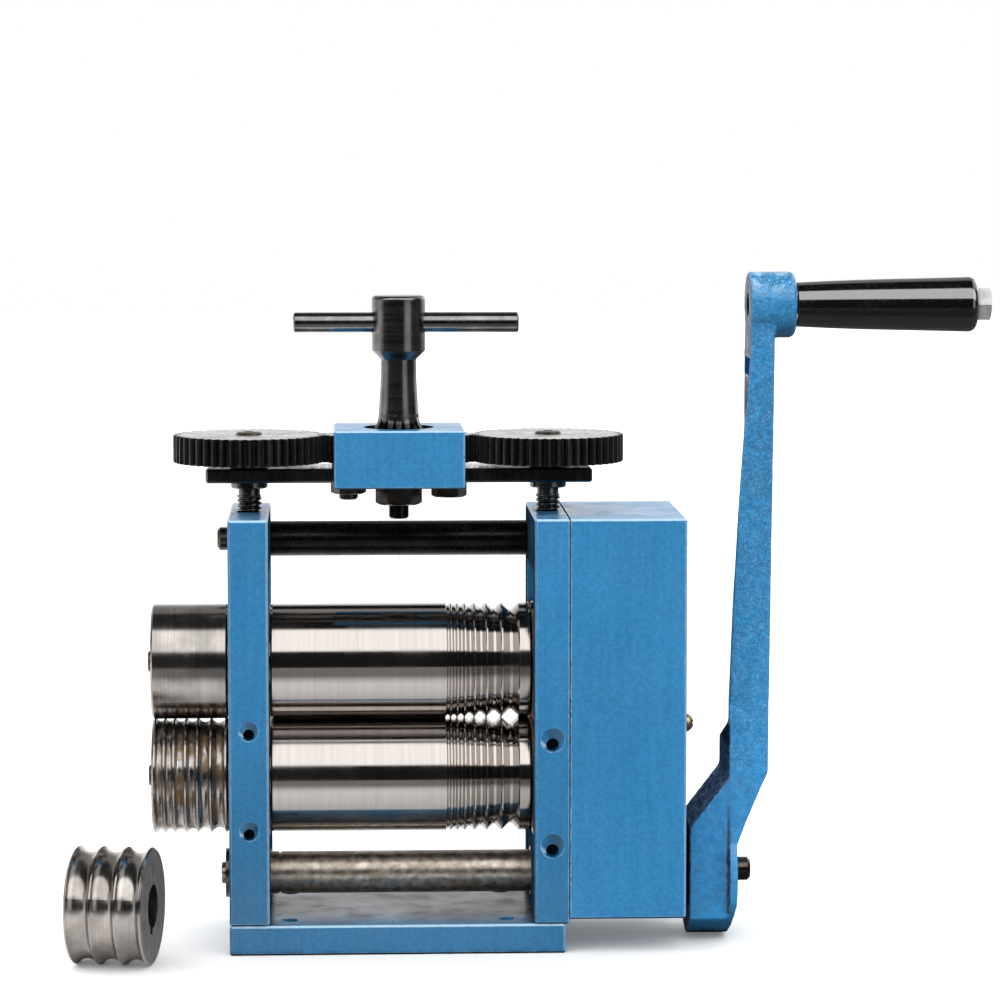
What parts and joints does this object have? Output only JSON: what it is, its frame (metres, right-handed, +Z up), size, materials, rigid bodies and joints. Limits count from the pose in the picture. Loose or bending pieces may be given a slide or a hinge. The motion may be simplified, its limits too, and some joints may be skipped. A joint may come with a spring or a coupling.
{
  "type": "jewellers rolling mill",
  "caption": "Hand-cranked bench rolling mill with two geared rolls, wire grooves, outboard extension rollers and a T-handle screw-down that drives both pressure screws.",
  "frame": {"origin": "on the underside of the base plate, below the middle of the roll barrels", "axes": "+X along the rolls towards the crank, +Y to the back, +Z up"},
  "size_m": [0.3872, 0.1185, 0.282],
  "materials": {
    "blue_paint": "semi-gloss light blue machine enamel over steel",
    "hammered_blue": "light blue hammered enamel over cast iron",
    "ground_roll_steel": "hardened steel, ground and polished round the roll",
    "polished_extension_steel": "hardened steel, turned and polished",
    "bare_shaft_steel": "bare turned steel, slightly oiled",
    "black_oxide": "black oxide, oiled",
    "gear_steel": "machined steel, greased",
    "dark_screw_steel": "blackened steel",
    "zinc_steel": "bright zinc plate",
    "bearing_bronze": "machined bronze",
    "hardened_steel": "hardened and ground steel",
    "spring_steel": "oil tempered spring wire",
    "black_grip_plastic": "high gloss black moulded plastic"
  },
  "bodies": {
    "frame": {"base_plate": "blue_paint", "left_side_frame": "blue_paint", "right_side_frame": "blue_paint", "upper_tie_rod": "black_oxide", "tie_rod_screws": "dark_screw_steel", "frame_foot_screws": "dark_screw_steel", "left_lower_bearing": "bearing_bronze", "right_lower_bearing": "bearing_bronze", "left_shaft_bush": "bearing_bronze", "right_shaft_bush": "bearing_bronze", "cover_bush": "bearing_bronze", "gear_cover": "blue_paint", "cover_pillars": "zinc_steel", "cover_screws": "zinc_steel"},
    "crank": {"drive_shaft": "bare_shaft_steel", "crank_arm": "hammered_blue", "crank_washer": "zinc_steel", "crank_screw": "dark_screw_steel", "shaft_end_washer": "zinc_steel", "shaft_end_screw": "dark_screw_steel", "grip_bolt": "zinc_steel"},
    "grip": {"handle_grip": "black_grip_plastic"},
    "lower_roll": {"lower_roller": "ground_roll_steel", "lower_roll_gear": "gear_steel", "drive_gear": "gear_steel", "lower_extension_roller": "polished_extension_steel", "lower_roll_keys": "hardened_steel", "lower_end_washer": "zinc_steel", "lower_end_screw": "dark_screw_steel", "lower_roll_nut": "zinc_steel"},
    "bearing_carriage": {"left_upper_bearing": "bearing_bronze", "right_upper_bearing": "bearing_bronze", "pressure_pads": "hardened_steel", "lift_springs": "spring_steel"},
    "upper_roll": {"upper_roller": "ground_roll_steel", "upper_roll_gear": "gear_steel", "upper_extension_roller": "polished_extension_steel", "upper_roll_keys": "hardened_steel", "upper_end_washer": "zinc_steel", "upper_end_screw": "dark_screw_steel", "upper_roll_nut": "zinc_steel"},
    "bridge": {"bridge_bar": "black_oxide", "gear_housing": "blue_paint", "idler_bolt": "dark_screw_steel", "idler_stud": "dark_screw_steel", "idler_nut": "dark_screw_steel"},
    "left_idler": {"left_idler_gear": "black_oxide"},
    "right_idler": {"right_idler_gear": "black_oxide"},
    "left_screw": {"left_pressure_screw": "dark_screw_steel", "left_screw_gear": "black_oxide", "left_gear_screw": "zinc_steel"},
    "right_screw": {"right_pressure_screw": "dark_screw_steel", "right_screw_gear": "black_oxide", "right_gear_screw": "zinc_steel"},
    "t_handle": {"t_handle_spindle": "black_oxide", "tommy_bar": "black_oxide", "spindle_nut": "dark_screw_steel"},
    "spare_roller": {"spare_extension_roller": "polished_extension_steel"}
  },
  "joints": [
    {"name": "crank_spin", "type": "hinge", "parent": "frame", "child": "crank", "pos_m": [0, 0, 0.0275], "axis": [1, 0, 0], "continuous": true},
    {"name": "grip_spin", "type": "hinge", "parent": "crank", "child": "grip", "pos_m": [0.2, 0, 0.268], "axis": [1, 0, 0], "continuous": true},
    {"name": "lower_roll_spin", "type": "hinge", "parent": "frame", "child": "lower_roll", "pos_m": [0, 0, 0.0695], "axis": [1, 0, 0], "continuous": true},
    {"name": "t_handle_turn", "type": "hinge", "parent": "bridge", "child": "t_handle", "pos_m": [-0.00045, 0, 0.2], "axis": [0, 0, 1], "range_deg": [0, 3307.52]},
    {"name": "bridge_lift", "type": "slide", "parent": "frame", "child": "bridge", "axis": [0, 0, 1], "range_m": [0, 0.006]},
    {"name": "left_idler_spin", "type": "hinge", "parent": "bridge", "child": "left_idler", "pos_m": [-0.02161, 0, 0.208], "axis": [0, 0, 1], "range_deg": [-2940.02, 0]},
    {"name": "right_idler_spin", "type": "hinge", "parent": "bridge", "child": "right_idler", "pos_m": [0.02071, 0, 0.208], "axis": [0, 0, 1], "range_deg": [-2940.02, 0]},
    {"name": "left_screw_turn", "type": "hinge", "parent": "bridge", "child": "left_screw", "pos_m": [-0.0633, 0, 0.19], "axis": [0, 0, 1], "range_deg": [0, 1080.01]},
    {"name": "right_screw_turn", "type": "hinge", "parent": "bridge", "child": "right_screw", "pos_m": [0.0624, 0, 0.19], "axis": [0, 0, 1], "range_deg": [0, 1080.01]},
    {"name": "upper_bearing_lift", "type": "slide", "parent": "frame", "child": "bearing_carriage", "axis": [0, 0, 1], "range_m": [0, 0.006], "deforming": ["lift_springs"]},
    {"name": "upper_roll_spin", "type": "hinge", "parent": "bearing_carriage", "child": "upper_roll", "pos_m": [0, 0, 0.118], "axis": [1, 0, 0], "continuous": true},
    {"name": "spare_roller_lift", "type": "slide", "parent": "frame", "child": "spare_roller", "axis": [0, 0, 1], "range_m": [0, 0.08]}
  ],
  "couplings": [
    {"joint": "lower_roll_spin", "follows": "crank_spin", "ratio": -0.27273},
    {"joint": "upper_roll_spin", "follows": "crank_spin", "ratio": 0.27273},
    {"joint": "upper_bearing_lift", "follows": "bridge_lift", "ratio": 1},
    {"joint": "left_screw_turn", "follows": "bridge_lift", "rad_per_m": 3141.6},
    {"joint": "right_screw_turn", "follows": "bridge_lift", "rad_per_m": 3141.6},
    {"joint": "t_handle_turn", "follows": "bridge_lift", "rad_per_m": 9621.1},
    {"joint": "left_idler_spin", "follows": "bridge_lift", "rad_per_m": -8552.1},
    {"joint": "right_idler_spin", "follows": "bridge_lift", "rad_per_m": -8552.1}
  ]
}
